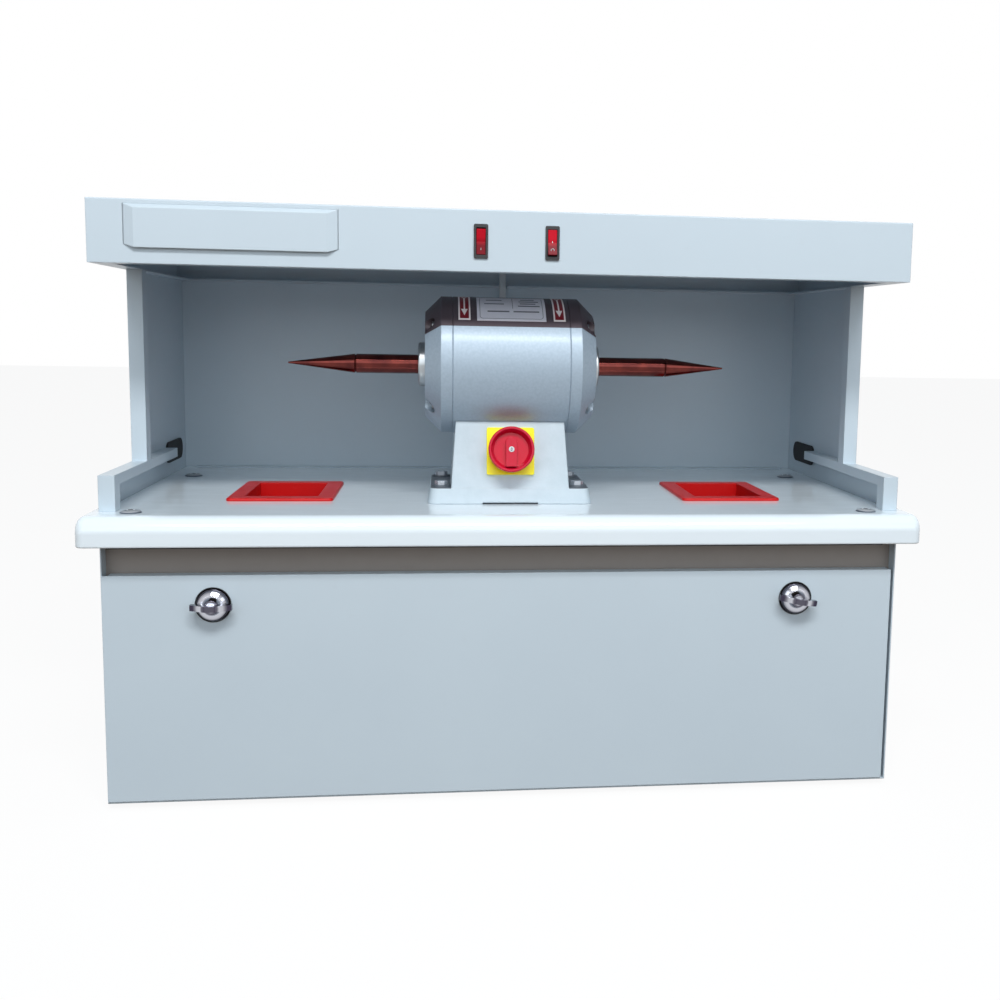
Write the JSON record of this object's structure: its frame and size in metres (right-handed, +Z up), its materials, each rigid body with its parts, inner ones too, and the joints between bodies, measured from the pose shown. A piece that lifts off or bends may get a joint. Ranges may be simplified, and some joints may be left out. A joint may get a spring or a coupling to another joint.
{
  "type": "dental polishing lathe",
  "caption": "Bench polishing lathe: motor with a tapered spindle at each end under a hood, red chutes in a white worktop and a latched drawer below.",
  "frame": {"origin": "middle of the base on the bench, below the feet", "axes": "+X to the right along the width, +Y to the back, +Z up"},
  "size_m": [0.8, 0.4, 0.5732],
  "materials": {
    "cabinet_paint": "smooth grey powder coat",
    "worktop_white": "glossy white laminate",
    "chute_red": "glossy red",
    "rubber_black": "matt",
    "chrome": "polished",
    "zinc_steel": "zinc plated",
    "black_plastic": "matt",
    "switch_red": "translucent red",
    "lamp_glass": "frosted",
    "white_plastic": "satin",
    "casting_paint": "cream-grey paint over rough casting",
    "hammered_silver": "hammered silver paint",
    "plate_yellow": "glossy yellow",
    "knob_red": "glossy red",
    "aluminium": "satin",
    "steel": "ground",
    "core_steel": "laminated",
    "copper": "enamelled copper wire",
    "copper_spindle": "dark copper plate"
  },
  "bodies": {
    "cabinet": {"rubber_feet": "rubber_black", "base_pan": "cabinet_paint", "cabinet_side_left": "cabinet_paint", "cabinet_side_right": "cabinet_paint", "cabinet_back": "cabinet_paint", "front_rail": "cabinet_paint", "cable_gland": "black_plastic", "worktop": "worktop_white", "worktop_screws": "chrome", "chute_left": "chute_red", "chute_right": "chute_red", "side_panel_left": "cabinet_paint", "side_panel_right": "cabinet_paint", "side_grommets": "rubber_black", "back_panel": "cabinet_paint", "hood_shell": "cabinet_paint", "hood_scoop": "cabinet_paint", "switch_housing_left": "black_plastic", "switch_housing_right": "black_plastic", "lamp_tube_left": "lamp_glass", "lamp_tube_right": "lamp_glass", "lamp_holders": "white_plastic", "cable_trunking": "white_plastic", "pedestal": "casting_paint", "pedestal_bolts": "zinc_steel", "pedestal_nuts": "zinc_steel", "isolator_plate": "plate_yellow", "isolator_block": "black_plastic", "capacitor": "aluminium", "motor_body": "hammered_silver", "end_bell_left": "hammered_silver", "end_bell_right": "hammered_silver", "bell_screws": "zinc_steel", "bearing_left": "steel", "bearing_right": "steel", "bearing_cap_left": "aluminium", "bearing_cap_right": "aluminium", "stator_core": "core_steel", "stator_windings": "copper", "data_plate": "aluminium", "runner_outer_left": "zinc_steel", "runner_outer_right": "zinc_steel"},
    "rotor": {"rotor_core": "core_steel", "motor_shaft": "steel", "spindle_left": "copper_spindle", "spindle_right": "copper_spindle"},
    "rocker_left": {"rocker_left": "switch_red"},
    "rocker_right": {"rocker_right": "switch_red"},
    "isolator": {"isolator_knob": "knob_red", "isolator_shaft": "steel"},
    "drawer": {"drawer_front": "cabinet_paint", "drawer_box": "zinc_steel", "runner_inner_left": "zinc_steel", "runner_inner_right": "zinc_steel", "latch_housing_left": "chrome", "latch_housing_right": "chrome"},
    "latch_left": {"latch_knob_left": "chrome", "latch_cam_left": "zinc_steel"},
    "latch_right": {"latch_knob_right": "chrome", "latch_cam_right": "zinc_steel"}
  },
  "joints": [
    {"name": "rotor_spin", "type": "hinge", "parent": "cabinet", "child": "rotor", "pos_m": [-0.002, -0.06, 0.424], "axis": [1, 0, 0], "continuous": true},
    {"name": "rocker_left_press", "type": "hinge", "parent": "cabinet", "child": "rocker_left", "pos_m": [-0.0348, -0.156, 0.5435], "axis": [1, 0, 0], "range_deg": [-16, 0]},
    {"name": "rocker_right_press", "type": "hinge", "parent": "cabinet", "child": "rocker_right", "pos_m": [0.0332, -0.156, 0.5435], "axis": [1, 0, 0], "range_deg": [0, 16]},
    {"name": "isolator_turn", "type": "hinge", "parent": "cabinet", "child": "isolator", "pos_m": [-0.002, -0.10927, 0.3387], "axis": [0, -0.9785, 0.206], "range_deg": [0, 90]},
    {"name": "drawer_slide", "type": "slide", "parent": "cabinet", "child": "drawer", "axis": [0, -1, 0], "range_m": [0, 0.25]},
    {"name": "latch_left_turn", "type": "hinge", "parent": "drawer", "child": "latch_left", "pos_m": [-0.284, -0.174, 0.199], "axis": [0, 1, 0], "range_deg": [0, 90]},
    {"name": "latch_right_turn", "type": "hinge", "parent": "drawer", "child": "latch_right", "pos_m": [0.281, -0.174, 0.199], "axis": [0, -1, 0], "range_deg": [0, 100]}
  ]
}
